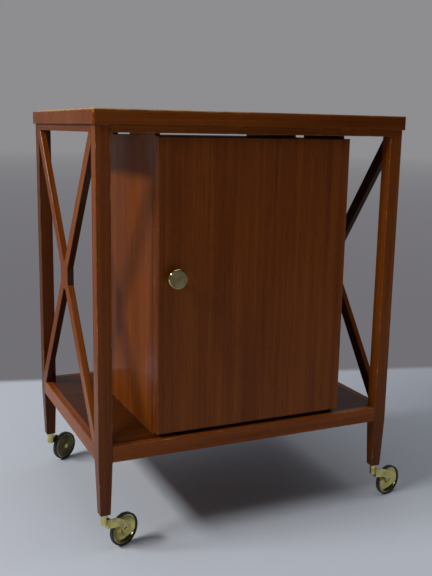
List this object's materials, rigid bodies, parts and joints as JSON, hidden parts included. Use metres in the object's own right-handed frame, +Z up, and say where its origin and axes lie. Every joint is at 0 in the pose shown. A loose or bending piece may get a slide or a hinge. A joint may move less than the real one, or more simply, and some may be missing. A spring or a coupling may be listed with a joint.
{
  "type": "bar cart",
  "caption": "Wooden bar cart on swivel casters: top and shelf on tapered legs, crossed end braces, and a central cabinet with a hinged door.",
  "frame": {"origin": "on the floor, midway between the four legs", "axes": "+X to the right and +Y to the back as seen from the front, +Z up; the door faces -Y"},
  "size_m": [0.6781, 0.4949, 0.791],
  "materials": {
    "mahogany": "reddish brown mahogany under a glossy varnish, light wear on the top's edges",
    "brass": "polished yellow brass, lightly tarnished",
    "steel": "plain bright steel",
    "rubber": "matt black rubber"
  },
  "bodies": {
    "frame": {"top_panel": "mahogany", "front_apron": "mahogany", "front_shelf_rail": "mahogany", "rear_apron": "mahogany", "rear_shelf_rail": "mahogany", "left_apron": "mahogany", "left_shelf_rail": "mahogany", "right_apron": "mahogany", "right_shelf_rail": "mahogany", "shelf_panel": "mahogany", "front_left_leg": "mahogany", "front_right_leg": "mahogany", "rear_left_leg": "mahogany", "rear_right_leg": "mahogany", "left_brace_to_rear": "mahogany", "left_brace_to_front": "mahogany", "right_brace_to_rear": "mahogany", "right_brace_to_front": "mahogany", "cabinet_left_side": "mahogany", "cabinet_right_side": "mahogany", "cabinet_top": "mahogany", "cabinet_bottom": "mahogany", "cabinet_back": "mahogany", "top_cleats": "mahogany", "upper_hinge_case_leaf": "brass", "upper_hinge_pin": "steel", "lower_hinge_case_leaf": "brass", "lower_hinge_pin": "steel", "case_hinge_screws": "brass", "front_left_caster_socket": "steel", "front_right_caster_socket": "steel", "rear_left_caster_socket": "steel", "rear_right_caster_socket": "steel"},
    "door": {"door_panel": "mahogany", "door_knob": "brass", "knob_stem": "brass", "knob_screw": "steel", "upper_hinge_door_leaf": "brass", "lower_hinge_door_leaf": "brass", "door_hinge_screws": "brass"},
    "front_left_swivel": {"front_left_caster_horn": "brass", "front_left_caster_axle": "brass"},
    "front_left_wheel": {"front_left_wheel_disc": "brass", "front_left_wheel_tyre": "rubber"},
    "front_right_swivel": {"front_right_caster_horn": "brass", "front_right_caster_axle": "brass"},
    "front_right_wheel": {"front_right_wheel_disc": "brass", "front_right_wheel_tyre": "rubber"},
    "rear_left_swivel": {"rear_left_caster_horn": "brass", "rear_left_caster_axle": "brass"},
    "rear_left_wheel": {"rear_left_wheel_disc": "brass", "rear_left_wheel_tyre": "rubber"},
    "rear_right_swivel": {"rear_right_caster_horn": "brass", "rear_right_caster_axle": "brass"},
    "rear_right_wheel": {"rear_right_wheel_disc": "brass", "rear_right_wheel_tyre": "rubber"}
  },
  "joints": [
    {"name": "door_hinge", "type": "hinge", "parent": "frame", "child": "door", "pos_m": [0.1954, -0.197, 0.48], "axis": [0, 0, 1], "range_deg": [0, 110]},
    {"name": "front_left_swivel_turn", "type": "hinge", "parent": "frame", "child": "front_left_swivel", "pos_m": [-0.292, -0.212, 0.06], "axis": [0, 0, 1], "continuous": true},
    {"name": "front_left_wheel_spin", "type": "hinge", "parent": "front_left_swivel", "child": "front_left_wheel", "pos_m": [-0.25008, -0.19552, 0.0315], "axis": [-0.4067, 0.9135, 0], "continuous": true},
    {"name": "front_right_swivel_turn", "type": "hinge", "parent": "frame", "child": "front_right_swivel", "pos_m": [0.292, -0.212, 0.06], "axis": [0, 0, 1], "continuous": true},
    {"name": "front_right_wheel_spin", "type": "hinge", "parent": "front_right_swivel", "child": "front_right_wheel", "pos_m": [0.33643, -0.2046, 0.0315], "axis": [-0.2079, 0.9781, 0], "continuous": true},
    {"name": "rear_left_swivel_turn", "type": "hinge", "parent": "frame", "child": "rear_left_swivel", "pos_m": [-0.292, 0.212, 0.06], "axis": [0, 0, 1], "continuous": true},
    {"name": "rear_left_wheel_spin", "type": "hinge", "parent": "rear_left_swivel", "child": "rear_left_wheel", "pos_m": [-0.25403, 0.23623, 0.0315], "axis": [-0.5, 0.866, 0], "continuous": true},
    {"name": "rear_right_swivel_turn", "type": "hinge", "parent": "frame", "child": "rear_right_swivel", "pos_m": [0.292, 0.212, 0.06], "axis": [0, 0, 1], "continuous": true},
    {"name": "rear_right_wheel_spin", "type": "hinge", "parent": "rear_right_swivel", "child": "rear_right_wheel", "pos_m": [0.3336, 0.22927, 0.0315], "axis": [-0.342, 0.9397, 0], "continuous": true}
  ]
}
